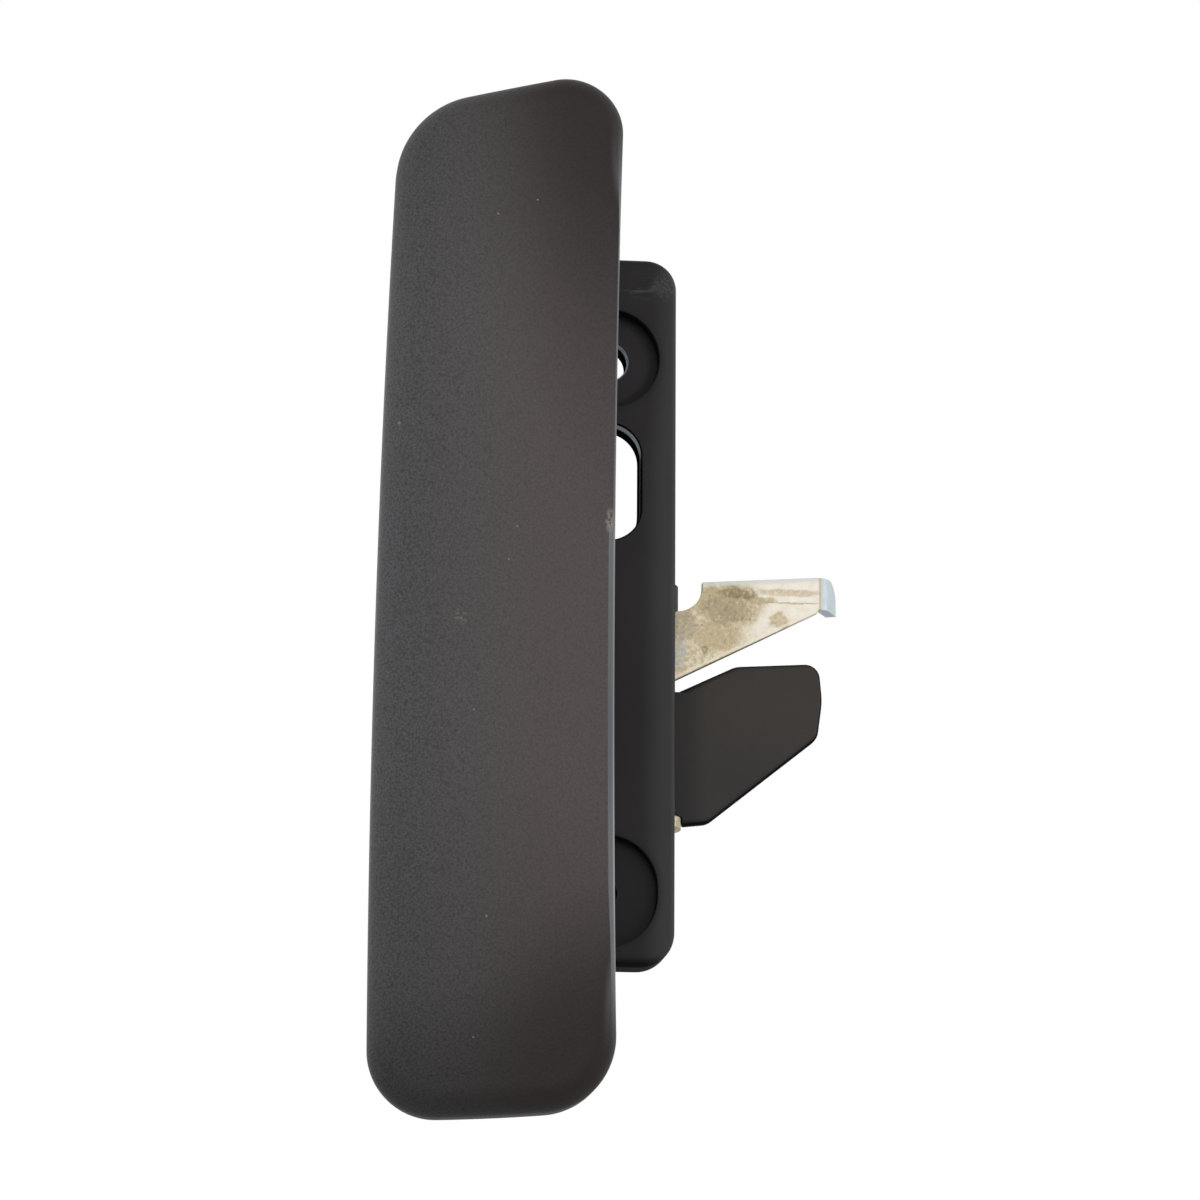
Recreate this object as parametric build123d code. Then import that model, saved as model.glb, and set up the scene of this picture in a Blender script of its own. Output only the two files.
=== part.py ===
"""Exterior door handle with a vertical pull grip, for the side door of a van.

The frame: X to the right as seen from outside, Y into the door, Z up. The origin is midway
between the two fixing holes, on the plane where the base plate seats on the door skin.
All sizes are in millimetres.

Pulling the left edge of the grip turns the rocker about an upright hinge pin behind the base
plate. The rocker's blade and the stamped release lever then swing into the door.
"""

import os
from math import cos, radians, sin, tan

from build123d import *

# Base plate, a hollow moulding that seats on the door at y = 0
plate_right = 11.35
plate_width = 28.2
plate_top = 62.45
plate_bottom = -57.35
plate_top_corner = 5.1
plate_bottom_corner = 5.8
plate_depth = 8.0
plate_face = 2.5
plate_wall = 2.0
plate_rib = 1.5
rib_above_slot = 2.0
rib_above_lug = 1.0
plate_edge_round = 1.1
gasket_thickness = 1.5
gasket_inset = 0.3
gasket_rim = 3.4
gasket_play = 0.3
gasket_slot_play = 0.6

# Fixing holes in the plate, each with a sunk seat; the lower one is tapped behind a wide mouth
fixing_spacing = 90.0
fixing_hole = 6.6
fixing_mouth = 1.5
tapped_hole = 4.2
seat_diameter = 17.0
seat_depth = 2.5
lower_seat_stretch = 1.4
boss_diameter = 12.4

# Long slot through the plate
slot_width = 11.0
slot_length = 20.0
slot_height = 23.7
slot_collar = 1.8

# Hinge pin
pin_x = 8.0
pin_y = 8.0
pin_diameter = 5.0
pin_head_diameter = 8.0
pin_head_thickness = 1.6
pin_groove_diameter = 3.8
pin_tail = 1.6
pin_point = 0.5
pin_head_round = 0.6

# Stack along the pin, from the upper lug down
upper_lug_bottom = 4.3
lug_thickness = 5.2
lug_diameter = 11.3
lower_lug_diameter = 9.6
lug_web_right = 9.5
side_play = 0.1
running_play = 0.03
ear_flange = 0.5
hub_flange = 0.8
upper_barrel = 13.0
spring_room = 11.0
lower_barrel = 6.3
clip_thickness = 0.8
washer_thickness = 0.6
washer_diameter = 9.0
clip_diameter = 9.4
clip_mouth = 3.0

# Bushes on the pin
hub_bush_wall = 0.9
ear_bush_wall = 1.1
hub_flange_diameter = 8.8
ear_flange_diameter = 9.4

# Rocker: carrier plate, two necks, hub barrels and the blade behind the door skin
neck_x = -9.5
neck_thickness = 4.0
neck_outer_bend = 6.0
neck_inner_bend = 3.0
strip_forward = 0.5
barrel_wall = 1.2
window_play = 1.0
window_swing = 6.5
gusset_reach = 10.0
gusset_thickness = 2.0
dog_width = 2.0
dog_inset = 0.2
dog_gap = 0.3

# Blade: its corners lie at (x from the hinge axis, z)
blade_front = 6.0
blade_thickness = 3.2
blade_root = (5.4, -8.8)
blade_shoulder = (15.3, -4.05)
blade_tip = (29.45, -3.15)
blade_side = (30.05, -9.6)
blade_knee = (29.2, -16.0)
blade_foot = (10.6, -30.95)
blade_heel = (6.6, -31.4)
blade_shoulder_round = 4.0
blade_tip_round = 2.5
blade_side_round = 12.0
blade_knee_round = 2.6
blade_foot_round = 3.0
blade_edge_round = 0.9
blade_neck_in = 0.7

# Grip cover, the part the hand pulls
grip_back = -20.0
grip_front = -33.0
cover_wall = 2.3
carrier_thickness = 2.5
carrier_gap = 0.15
grip_top_left = (-36.5, 81.0)
grip_top_right = (0.6, 90.0)
grip_bottom_right = (0.2, -81.8)
grip_bottom_left = (-38.9, -84.2)
grip_left_bulge = 1.2
grip_right_hollow = 1.5
grip_bottom_bulge = 0.6
radius_top_left = 14.5
radius_top_right = 9.2
radius_bottom_right = 12.0
radius_bottom_left = 10.8
grip_edge_round = 4.0
grip_long_crown = 900.0
grip_flat_crown = 220.0
grip_side_crown = 46.0
crown_change_x = -24.0
crown_apex_x = -9.0
crown_side_turn = 35.0
crown_end_turn = 8.0

# Screws that hold the cover on the carrier
screw_rows = (66.0, 16.0, -58.0)
screw_left_x = -31.5
screw_right_x = -7.0
screw_shank = 2.6
screw_head = 5.4
screw_head_height = 1.5
screw_head_round = 0.5
screw_below = 0.1
screw_length = 4.2
screw_boss = 6.6
screw_head_play = 0.25
cross_width = 0.9
cross_span = 3.2
cross_depth = 0.8

# Release lever, stamped and bent from sheet steel
sheet = 1.8
sheet_front = 1.2
ear_diameter = 12.4
web_left = 2.2
web_right = 11.6
ear_root_in = 1.0
bend_inside = 0.8
bend_relief = 0.6
arm_tip_x = 37.0
arm_tip_top = 10.5
arm_tip_bottom = 4.8
arm_root_bottom = -8.1
notch_radius = 4.4
notch_x = 12.6
notch_z = 8.4
notch_top = 9.1
tab_angle = 64.0
tab_length = 4.1
tab_bottom = 5.0
tab_corner = 3.5
tab_bend_inside = 0.5

# Return spring, wound round the pin between the barrels
wire = 1.3
coil_diameter = 7.8
coil_turns = 6
coil_pitch = 1.45
fixed_leg = 9.5
moving_leg = 3.6
spring_sleeve_wall = 0.45
post_width = 2.6
post_play = 0.5

# Rubber buffers clipped on the window edge
buffer_thickness = 2.1
buffer_lip = 0.9
buffer_skin = 0.8
buffer_gap = 0.3
buffer_round = 0.6

# Values that follow from the sizes above
plate_left = plate_right - plate_width
plate_height = plate_top - plate_bottom
plate_mid_x = (plate_left + plate_right) / 2
plate_mid_z = (plate_top + plate_bottom) / 2
face_back = plate_face - plate_depth
seat_back = seat_depth + plate_wall - plate_depth
pin_radius = pin_diameter / 2
upper_lug_top = upper_lug_bottom + lug_thickness
ear_top = upper_lug_bottom - side_play - ear_flange
ear_under = ear_top - sheet
upper_barrel_top = ear_under - side_play - hub_flange
upper_barrel_bottom = upper_barrel_top - upper_barrel
lower_barrel_top = upper_barrel_bottom - spring_room
lower_barrel_bottom = lower_barrel_top - lower_barrel
low_ear_top = lower_barrel_bottom - hub_flange - side_play
low_ear_bottom = low_ear_top - sheet
lower_lug_top = low_ear_bottom - ear_flange - side_play
lower_lug_bottom = lower_lug_top - lug_thickness
washer_bottom = lower_lug_bottom - washer_thickness
clip_bottom = washer_bottom - clip_thickness
pin_bottom = clip_bottom - pin_tail
barrel_radius = pin_radius + running_play + hub_bush_wall + barrel_wall
neck_left = neck_x - neck_thickness / 2
neck_right = neck_x + neck_thickness / 2
strip_front = pin_y - neck_thickness / 2 - strip_forward
strip_back = strip_front + neck_thickness
sheet_back = sheet_front + sheet
window_left = neck_left - buffer_gap - buffer_thickness
window_right = neck_right + window_swing
coil_radius = coil_diameter / 2
coil_height = coil_turns * coil_pitch
coil_low = (lower_barrel_top + upper_barrel_bottom - coil_height) / 2
coil_high = coil_low + coil_height
post_right = web_left - post_play
neck_spans = ((upper_barrel_bottom, upper_barrel_top), (lower_barrel_bottom, lower_barrel_top))
screw_places = [(x, z) for z in screw_rows for x in (screw_left_x, screw_right_x)]


def block(x0, x1, y0, y1, z0, z1):
    """A box between two corners."""
    size = (x1 - x0, y1 - y0, z1 - z0)
    centre = ((x0 + x1) / 2, (y0 + y1) / 2, (z0 + z1) / 2)
    return Pos(*centre) * Box(*size)


def along_y(face, y0, y1):
    """A face drawn as (x, z), made solid from y0 to y1."""
    placed = Plane((0, y0, 0), x_dir=(1, 0, 0), z_dir=(0, -1, 0)) * face
    return extrude(placed, amount=y1 - y0, dir=(0, 1, 0))


def along_z(face, z0, z1):
    """A face drawn as (x, y), made solid from z0 to z1."""
    return extrude(Pos(0, 0, z0) * face, amount=z1 - z0, dir=(0, 0, 1))


def rod_y(x, z, radius, y0, y1):
    """A round bar that points into the door."""
    return along_y(Pos(x, z) * Circle(radius), y0, y1)


def rod_z(x, y, radius, z0, z1):
    """An upright round bar."""
    return along_z(Pos(x, y) * Circle(radius), z0, z1)


def on_pin(radius, z0, z1):
    """A round bar on the hinge axis."""
    return rod_z(pin_x, pin_y, radius, z0, z1)


def ring_on_pin(outer, inner, z0, z1):
    """A ring on the hinge axis."""
    return on_pin(outer, z0, z1) - on_pin(inner, z0, z1)


def polygon(points):
    """A flat face from its corners in order."""
    return make_face(Polyline(*points, close=True))


def drawn_in(face, amount):
    """An outline moved inward by an amount, with each bow kept a true arc."""
    edges = offset(face, -amount).edges()
    bows = edges.filter_by(GeomType.OFFSET)
    arcs = [ThreePointArc(edge @ 0, edge @ 0.5, edge @ 1) for edge in bows]
    return make_face([*(edge for edge in edges if edge not in bows), *arcs])


def grip_outline():
    """The grip's outline as (x, z): three bowed sides, a slanted top and four round corners."""
    top_left, top_right = Vector(*grip_top_left), Vector(*grip_top_right)
    bottom_right, bottom_left = Vector(*grip_bottom_right), Vector(*grip_bottom_left)
    left_mid = (top_left + bottom_left) * 0.5 - Vector(grip_left_bulge, 0)
    right_mid = (top_right + bottom_right) * 0.5 - Vector(grip_right_hollow, 0)
    bottom_mid = (bottom_right + bottom_left) * 0.5 - Vector(0, grip_bottom_bulge)
    face = make_face(
        [
            ThreePointArc(bottom_left, left_mid, top_left),
            Line(top_left, top_right),
            ThreePointArc(top_right, right_mid, bottom_right),
            ThreePointArc(bottom_right, bottom_mid, bottom_left),
        ]
    )
    corners = (
        (top_left, radius_top_left),
        (top_right, radius_top_right),
        (bottom_right, radius_bottom_right),
        (bottom_left, radius_bottom_left),
    )
    for corner, radius in corners:
        nearest = face.vertices().sort_by_distance(corner)[0]
        face = fillet(nearest, radius)
    return face


def crown(front):
    """A body whose front is crowned both ways: flat at the right, rolled over at the left."""
    mid_z = (grip_top_right[1] + grip_bottom_left[1]) / 2
    half_flat = crown_apex_x - crown_change_x
    drop = grip_flat_crown - (grip_flat_crown**2 - half_flat**2) ** 0.5
    change = (crown_change_x, front + drop)
    right_end = (crown_apex_x + half_flat, front + drop)
    flat = ThreePointArc(right_end, (crown_apex_x, front), change)
    side = JernArc(start=change, tangent=flat % 1, radius=grip_side_crown, arc_size=-crown_side_turn)
    far = side @ 1
    rear = grip_back - grip_front + front
    section = make_face(
        [
            flat,
            side,
            Polyline(far, (far.X, rear), (right_end[0], rear), right_end),
        ]
    )
    axis = Axis((0, front + grip_long_crown, mid_z), (1, 0, 0))
    upright = Pos(0, 0, mid_z) * section
    return revolve(upright.rotate(axis, -crown_end_turn), axis=axis, revolution_arc=2 * crown_end_turn)


def make_grip_cover():
    """The outer shell of the grip, crowned and open at the back, with six screw bosses."""
    outline = grip_outline()
    outside = along_y(outline, grip_front - 2, grip_back) & crown(grip_front)
    front_edges = outside.edges().filter_by(lambda e: e.center().Y < grip_back - 1)
    rim = front_edges.filter_by(
        lambda e: abs(e.tangent_at(0.5).Y) < 0.7 and abs(e.center().X - crown_change_x) > 0.5
    )
    outside = fillet(rim, grip_edge_round)
    inner_outline = drawn_in(outline, cover_wall)
    inside = along_y(inner_outline, grip_front, grip_back) & crown(grip_front + cover_wall)
    seat = grip_back - carrier_thickness
    into_wall = crown(grip_front + cover_wall / 2)
    bosses = [rod_y(x, z, screw_boss / 2, grip_front, seat) & into_wall for x, z in screw_places]
    holes = [rod_y(x, z, screw_shank / 2, seat - screw_length, seat) for x, z in screw_places]
    return (outside - inside) + bosses - holes


def neck_profile():
    """One neck as (x, y): back through the window, then across to the hub."""
    into_carrier = grip_back - carrier_thickness / 2
    across = polygon(
        [
            (neck_left, into_carrier),
            (neck_right, into_carrier),
            (neck_right, strip_front),
            (pin_x, strip_front),
            (pin_x, strip_back),
            (neck_left, strip_back),
        ]
    )
    bends = (
        ((neck_left, strip_back), neck_outer_bend),
        ((neck_right, strip_front), neck_inner_bend),
    )
    for corner, radius in bends:
        nearest = across.vertices().sort_by_distance(Vector(*corner))[0]
        across = fillet(nearest, radius)
    return across


def blade_outline():
    """The blade as (x, z): a tapered wing with one square and one slanted side."""
    named = (blade_root, blade_shoulder, blade_tip, blade_side, blade_knee, blade_foot, blade_heel)
    corners = [(pin_x + x, z) for x, z in named]
    root, shoulder, tip, side, knee, foot, heel = corners
    face = polygon(
        [
            (pin_x, upper_barrel_bottom),
            (pin_x, upper_barrel_top - barrel_radius),
            (pin_x + barrel_radius, upper_barrel_top - barrel_radius),
            (pin_x + barrel_radius, root[1]),
            *corners,
            (root[0] - blade_neck_in, lower_barrel_bottom),
            (pin_x, lower_barrel_bottom),
        ]
    )
    rounds = (
        (shoulder, blade_shoulder_round),
        (tip, blade_tip_round),
        (side, blade_side_round),
        (knee, blade_knee_round),
        (foot, blade_foot_round),
    )
    for corner, radius in rounds:
        nearest = face.vertices().sort_by_distance(Vector(*corner))[0]
        face = fillet(nearest, radius)
    return face


def make_rocker():
    """Carrier plate, two necks, two hub barrels and the blade, moulded as one piece."""
    outline = drawn_in(grip_outline(), cover_wall + carrier_gap)
    carrier_front = grip_back - carrier_thickness
    rocker = along_y(outline, carrier_front, grip_back)
    profile = neck_profile()
    dog_left = web_left + dog_inset
    for low, high in neck_spans:
        rocker += along_z(profile, low, high)
        rocker += on_pin(barrel_radius, low, high)
        dog_front = sheet_back + dog_gap
        rocker += block(dog_left, dog_left + dog_width, dog_front, pin_y, low, high)
        for z in (low + gusset_thickness, high - gusset_thickness):
            foot = grip_back - carrier_thickness / 2
            gusset = polygon(
                [
                    (neck_x, foot),
                    (neck_left - gusset_reach, foot),
                    (neck_left - gusset_reach, grip_back),
                    (neck_left, grip_back + gusset_reach),
                    (neck_x, grip_back + gusset_reach),
                ]
            )
            half = gusset_thickness / 2
            rocker += along_z(gusset, z - half, z + half)
    blade = along_y(blade_outline(), blade_front, blade_front + blade_thickness)
    outer_edges = blade.edges().filter_by(
        lambda e: e.center().X > pin_x + blade_heel[0] - blade_neck_in
        and abs(e.center().Y - blade_front - blade_thickness / 2) > blade_thickness / 4
    )
    rocker += fillet(outer_edges, blade_edge_round)
    spring_clear = coil_radius + wire
    rocker -= on_pin(spring_clear, lower_barrel_top, upper_barrel_bottom)
    bush_radius = pin_radius + running_play + hub_bush_wall
    rocker -= on_pin(bush_radius, lower_barrel_bottom, upper_barrel_top)
    ear_clear = ear_diameter / 2 + dog_gap
    rocker -= on_pin(ear_clear, low_ear_bottom - dog_gap, low_ear_top + side_play)
    for x, z in screw_places:
        rocker -= rod_y(x, z, screw_shank / 2 + screw_head_play, carrier_front, grip_back)
        sink = grip_back - screw_head_height - screw_below
        rocker -= rod_y(x, z, screw_head / 2 + screw_head_play, sink, grip_back)
    return rocker


def make_cover_screw(x, z):
    """A pan-head screw with a cross recess, driven from behind into the cover's boss."""
    head_top = grip_back - screw_below
    head_seat = head_top - screw_head_height
    point = grip_back - carrier_thickness - screw_length
    screw = rod_y(x, z, screw_head / 2, head_seat, head_top)
    screw = fillet(screw.edges().group_by(Axis.Y)[-1], screw_head_round)
    screw += rod_y(x, z, screw_shank / 2, point, head_seat)
    half, span = cross_width / 2, cross_span / 2
    screw -= block(x - half, x + half, head_top - cross_depth, head_top, z - span, z + span)
    screw -= block(x - span, x + span, head_top - cross_depth, head_top, z - half, z + half)
    return screw


def seat_tool(z, stretch, radius, y0, y1):
    """The sunk seat of a fixing, round or drawn out upright."""
    if stretch > 0:
        shape = Pos(0, z) * Rot(0, 0, 90) * SlotCenterToCenter(stretch, radius * 2)
    else:
        shape = Pos(0, z) * Circle(radius)
    return along_y(shape, y0, y1)


def make_slot():
    """The long slot as (x, z)."""
    return Pos(0, slot_height) * Rot(0, 0, 90) * SlotOverall(slot_length, slot_width)


def make_plate_outline():
    """The plate's outline as (x, z), with tighter corners at the top."""
    face = Pos(plate_mid_x, plate_mid_z) * Rectangle(plate_width, plate_height)
    face = fillet(face.vertices().group_by(Axis.Y)[-1], plate_top_corner)
    return fillet(face.vertices().group_by(Axis.Y)[0], plate_bottom_corner)


def make_seal_gasket():
    """A die-cut foam sheet behind the plate, with holes for the bosses, the slot and the hinge."""
    sheet_shape = offset(make_plate_outline(), -gasket_inset)
    gasket = along_y(sheet_shape, -gasket_thickness, 0)
    boss = boss_diameter / 2 + gasket_play
    gasket -= seat_tool(fixing_spacing / 2, 0, boss, -gasket_thickness, 0)
    gasket -= seat_tool(-fixing_spacing / 2, lower_seat_stretch, boss, -gasket_thickness, 0)
    gasket -= along_y(offset(make_slot(), gasket_slot_play), -gasket_thickness, 0)
    low, high = lower_lug_bottom - gasket_play, upper_lug_top + gasket_play
    left, right = plate_left + gasket_rim, lug_web_right + gasket_play
    return gasket - block(left, right, -gasket_thickness, 0, low, high)


def make_base_plate():
    """A shallow box moulding with seats, slot, windows, hinge lugs and the spring post."""
    outline = make_plate_outline()
    rim_back = -gasket_thickness
    plate = along_y(outline, -plate_depth, rim_back)
    plate = fillet(plate.edges().group_by(Axis.Y)[0], plate_edge_round)
    inner = offset(outline, -plate_wall)
    plate -= along_y(inner, face_back, rim_back)
    room = along_y(inner, -plate_depth, 0)

    upper, lower = fixing_spacing / 2, -fixing_spacing / 2
    seats = ((upper, 0.0, fixing_hole), (lower, lower_seat_stretch, tapped_hole))
    seat_radius = seat_diameter / 2
    for z, stretch, _ in seats:
        plate += seat_tool(z, stretch, seat_radius + plate_wall, -plate_depth, seat_back) & room
        plate += seat_tool(z, stretch, boss_diameter / 2, seat_back, 0)
    slot_top = slot_height + slot_length / 2
    for z in (plate_top - plate_bottom_corner, slot_top + rib_above_slot, upper_lug_top + rib_above_lug):
        rib = block(plate_left, plate_right, face_back, rim_back, z, z + plate_rib)
        plate += rib & room
    slot_shape = make_slot()
    collar = offset(slot_shape, slot_collar)
    plate += along_y(collar, face_back, rim_back) & room

    for bottom, diameter in ((upper_lug_bottom, lug_diameter), (lower_lug_bottom, lower_lug_diameter)):
        top = bottom + lug_thickness
        plate += block(pin_x - diameter / 2, lug_web_right, face_back, pin_y, bottom, top)
        plate += on_pin(diameter / 2, bottom, top)
    plate -= on_pin(pin_radius, lower_lug_bottom, upper_lug_top)

    for low, high in neck_spans:
        low_edge, high_edge = low - window_play, high + window_play
        plate -= block(window_left, window_right, -plate_depth, face_back, low_edge, high_edge)
    leg_front = pin_y - coil_radius - wire / 2
    post_low = lower_barrel_top + window_play / 2
    post_left = post_right - post_width
    plate += block(post_left, post_right, face_back, leg_front, post_low, coil_low + wire)
    leg_back, hook_low, hook_top = leg_front + wire, coil_low + wire / 2, coil_low + wire * 2
    plate += block(post_left, post_right, face_back, leg_back, hook_low, hook_top)

    plate -= along_y(slot_shape, -plate_depth, 0)
    for z, stretch, hole in seats:
        plate -= seat_tool(z, stretch, seat_radius, -plate_depth, seat_depth - plate_depth)
        plate -= rod_y(0, z, hole / 2, -plate_depth, 0)
        plate -= rod_y(0, z, fixing_hole / 2, -fixing_mouth, 0)
    return plate


def make_closing_buffer(low, high):
    """A rubber channel on the window's left edge that stops the neck as the grip closes."""
    low_edge, high_edge = low - window_play / 2, high + window_play / 2
    left, right = window_left - buffer_lip, window_left + buffer_thickness
    front, back = -plate_depth - buffer_skin, face_back + buffer_skin
    channel = block(left, right, front, back, low_edge, high_edge)
    channel = fillet(channel.edges().filter_by(Axis.Z).sort_by(Axis.X)[-2:], buffer_round)
    return channel - block(left, window_left, -plate_depth, face_back, low_edge, high_edge)


def make_hinge_pin():
    """The upright pin, with a head at the top and a clip groove at the foot."""
    pin = on_pin(pin_radius, pin_bottom, upper_lug_top)
    pin = chamfer(pin.edges().group_by(Axis.Z)[0], pin_point)
    head = on_pin(pin_head_diameter / 2, upper_lug_top, upper_lug_top + pin_head_thickness)
    pin += fillet(head.edges().group_by(Axis.Z)[-1], pin_head_round)
    return pin - ring_on_pin(clip_diameter / 2, pin_groove_diameter / 2, clip_bottom, washer_bottom)


def make_pin_clip():
    """A spring clip snapped into the pin's groove, open to the rear."""
    clip = ring_on_pin(clip_diameter / 2, pin_groove_diameter / 2, clip_bottom, washer_bottom)
    half = clip_mouth / 2
    return clip - block(pin_x - half, pin_x + half, pin_y, pin_y + clip_diameter, clip_bottom, washer_bottom)


def make_pin_washer():
    """A flat washer between the lower lug and the clip."""
    return ring_on_pin(washer_diameter / 2, pin_radius + side_play, washer_bottom, lower_lug_bottom)


def make_hub_bush(barrel_low, barrel_high, flange_low):
    """A flanged sleeve pressed into a hub barrel."""
    bore = pin_radius + running_play
    bush = ring_on_pin(bore + hub_bush_wall, bore, barrel_low, barrel_high)
    return bush + ring_on_pin(hub_flange_diameter / 2, bore, flange_low, flange_low + hub_flange)


def make_ear_bush(ear_low, flange_low):
    """A flanged sleeve pressed into an ear of the release lever."""
    bore = pin_radius + running_play
    bush = ring_on_pin(bore + ear_bush_wall, bore, ear_low, ear_low + sheet)
    return bush + ring_on_pin(ear_flange_diameter / 2, bore, flange_low, flange_low + ear_flange)


def make_release_lever():
    """Sheet steel: a web with two ears on the pin, and an arm with a bent tab at its tip."""
    outer_bend = bend_inside + sheet
    ear_radius = ear_diameter / 2
    reach = pin_y + 2 * ear_radius
    outer = RectangleRounded(2 * (reach - sheet_front), ear_top - low_ear_bottom, outer_bend)
    inner = RectangleRounded(2 * (reach - sheet_back), ear_under - low_ear_top, bend_inside)
    mid_z = (ear_top + low_ear_bottom) / 2
    section = Plane((0, reach, mid_z), x_dir=(0, 1, 0), z_dir=(1, 0, 0))
    bent = extrude(section * (outer - inner), amount=arm_tip_x)
    plan = polygon(
        [
            (web_left, sheet_front),
            (web_right, sheet_front),
            (pin_x + ear_radius, pin_y),
            (pin_x - ear_radius + ear_root_in, pin_y),
            (web_left, sheet_back + bend_inside),
        ]
    )
    plan += Pos(pin_x, pin_y) * Circle(ear_radius)
    lever = bent & along_z(plan, low_ear_bottom, ear_top)

    arm_end = arm_tip_x - tab_bend_inside
    slope = (arm_tip_bottom - arm_root_bottom) / (arm_tip_x - web_right)
    arm_low = arm_tip_bottom - slope * (arm_tip_x - arm_end)
    flat_top = ear_top - outer_bend
    arm = polygon(
        [
            (pin_x, flat_top),
            (web_right, flat_top),
            (web_right + bend_relief, ear_top),
            (notch_x, notch_z - notch_radius),
            (notch_x, notch_z),
            (notch_x + notch_radius, notch_z),
            (notch_x + notch_radius, notch_top),
            (arm_end, arm_tip_top),
            (arm_end, arm_low),
            (web_right, arm_root_bottom),
            (pin_x, arm_root_bottom),
        ]
    )
    arm -= Pos(notch_x, notch_z) * Circle(notch_radius)
    lever += along_y(arm, sheet_front, sheet_back)
    lever += make_tab(arm_end)
    bush_radius = pin_radius + running_play + ear_bush_wall
    for low in (ear_under, low_ear_bottom):
        lever -= on_pin(bush_radius, low, low + sheet)
    return lever


def make_tab(start_x):
    """The tip of the arm, bent into the door round an upright line, with its top corner rounded."""
    inside, outside = tab_bend_inside, tab_bend_inside + sheet
    centre = (start_x, sheet_back + inside)
    turn = radians(tab_angle)
    heading = Vector(cos(turn), sin(turn))
    side = Vector(sin(turn), -cos(turn))
    outer_end = Vector(*centre) + side * outside
    inner_end = Vector(*centre) + side * inside
    half = turn / 2
    outer_mid = Vector(*centre) + Vector(sin(half), -cos(half)) * outside
    inner_mid = Vector(*centre) + Vector(sin(half), -cos(half)) * inside
    section = make_face(
        [
            ThreePointArc((start_x, sheet_front), outer_mid, outer_end),
            Line(outer_end, outer_end + heading * tab_length),
            Line(outer_end + heading * tab_length, inner_end + heading * tab_length),
            Line(inner_end + heading * tab_length, inner_end),
            ThreePointArc(inner_end, inner_mid, (start_x, sheet_back)),
            Line((start_x, sheet_back), (start_x, sheet_front)),
        ]
    )
    tab = along_z(section, tab_bottom, arm_tip_top)
    tip = (outer_end + inner_end) * 0.5 + heading * tab_length
    top_edge = tab.edges().sort_by_distance(Vector(tip.X, tip.Y, arm_tip_top))[0]
    return fillet(top_edge, tab_corner)


def make_return_spring():
    """A close-wound torsion spring: the lower leg rests on the base, the upper on the lever."""
    coil = Pos(pin_x, pin_y, coil_low) * Rot(0, 0, -90) * Helix(coil_pitch, coil_height, coil_radius)
    section = Plane(coil @ 0, z_dir=coil % 0) * Circle(wire / 2)
    spring = sweep(section, path=coil, is_frenet=True)
    lower = Plane(coil @ 0, z_dir=(coil % 0) * -1) * Circle(wire / 2)
    upper = Plane(coil @ 1, z_dir=coil % 1) * Circle(wire / 2)
    spring += extrude(lower, amount=fixed_leg)
    spring += extrude(upper, amount=moving_leg)
    return spring


def make_spring_sleeve():
    """A thin sleeve that keeps the coil off the pin."""
    bore = pin_radius + running_play
    low, high = lower_barrel_top + side_play, upper_barrel_bottom - side_play
    return ring_on_pin(bore + spring_sleeve_wall, bore, low, high)


def build_all():
    """Every sub-part by its name."""
    lower_flange = lower_barrel_bottom - hub_flange
    parts = {
        "base_plate": make_base_plate(),
        "seal_gasket": make_seal_gasket(),
        "hinge_pin": make_hinge_pin(),
        "pin_clip": make_pin_clip(),
        "pin_washer": make_pin_washer(),
        "grip_cover": make_grip_cover(),
        "rocker": make_rocker(),
        "release_lever": make_release_lever(),
        "return_spring": make_return_spring(),
        "spring_sleeve": make_spring_sleeve(),
        "hub_bush_upper": make_hub_bush(upper_barrel_bottom, upper_barrel_top, upper_barrel_top),
        "hub_bush_lower": make_hub_bush(lower_barrel_bottom, lower_barrel_top, lower_flange),
        "ear_bush_upper": make_ear_bush(ear_under, ear_top),
        "ear_bush_lower": make_ear_bush(low_ear_bottom, low_ear_bottom - ear_flange),
    }
    for name, (low, high) in zip(("closing_buffer_upper", "closing_buffer_lower"), neck_spans):
        parts[name] = make_closing_buffer(low, high)
    for number, (x, z) in enumerate(screw_places, start=1):
        parts[f"cover_screw_{number}"] = make_cover_screw(x, z)
    return parts


os.makedirs("parts", exist_ok=True)
for name, shape in build_all().items():
    export_step(shape, f"parts/{name}.step")
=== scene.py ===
"""Looks of the exterior door handle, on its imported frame. Sizes are written in millimetres and
used in metres. X is to the right, Y into the door and Z up."""

from math import cos, pi, radians, sin

import bmesh
import bpy
import numpy as np
from mathutils import Matrix, Vector


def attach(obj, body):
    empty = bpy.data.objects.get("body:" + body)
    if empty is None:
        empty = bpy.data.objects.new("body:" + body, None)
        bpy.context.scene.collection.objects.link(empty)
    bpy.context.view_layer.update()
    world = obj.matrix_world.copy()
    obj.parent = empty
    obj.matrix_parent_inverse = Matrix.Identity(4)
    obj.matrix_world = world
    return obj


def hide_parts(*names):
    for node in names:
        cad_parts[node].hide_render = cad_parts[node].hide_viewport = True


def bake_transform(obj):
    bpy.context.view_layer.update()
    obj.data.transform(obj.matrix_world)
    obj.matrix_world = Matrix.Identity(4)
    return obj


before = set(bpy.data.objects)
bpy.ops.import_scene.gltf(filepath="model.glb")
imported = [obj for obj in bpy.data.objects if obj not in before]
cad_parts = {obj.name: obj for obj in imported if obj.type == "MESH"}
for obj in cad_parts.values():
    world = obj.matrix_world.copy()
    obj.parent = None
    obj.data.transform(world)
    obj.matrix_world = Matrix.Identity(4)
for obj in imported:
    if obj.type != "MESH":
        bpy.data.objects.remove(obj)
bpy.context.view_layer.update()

MM = 0.001

# Camera of the photograph
camera_azimuth = -6.0
camera_elevation = -13.0
camera_roll = 0.3754
camera_distance = 700.0
camera_target = (-0.44, 0.0, 5.26)
camera_lens = 125.8

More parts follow.
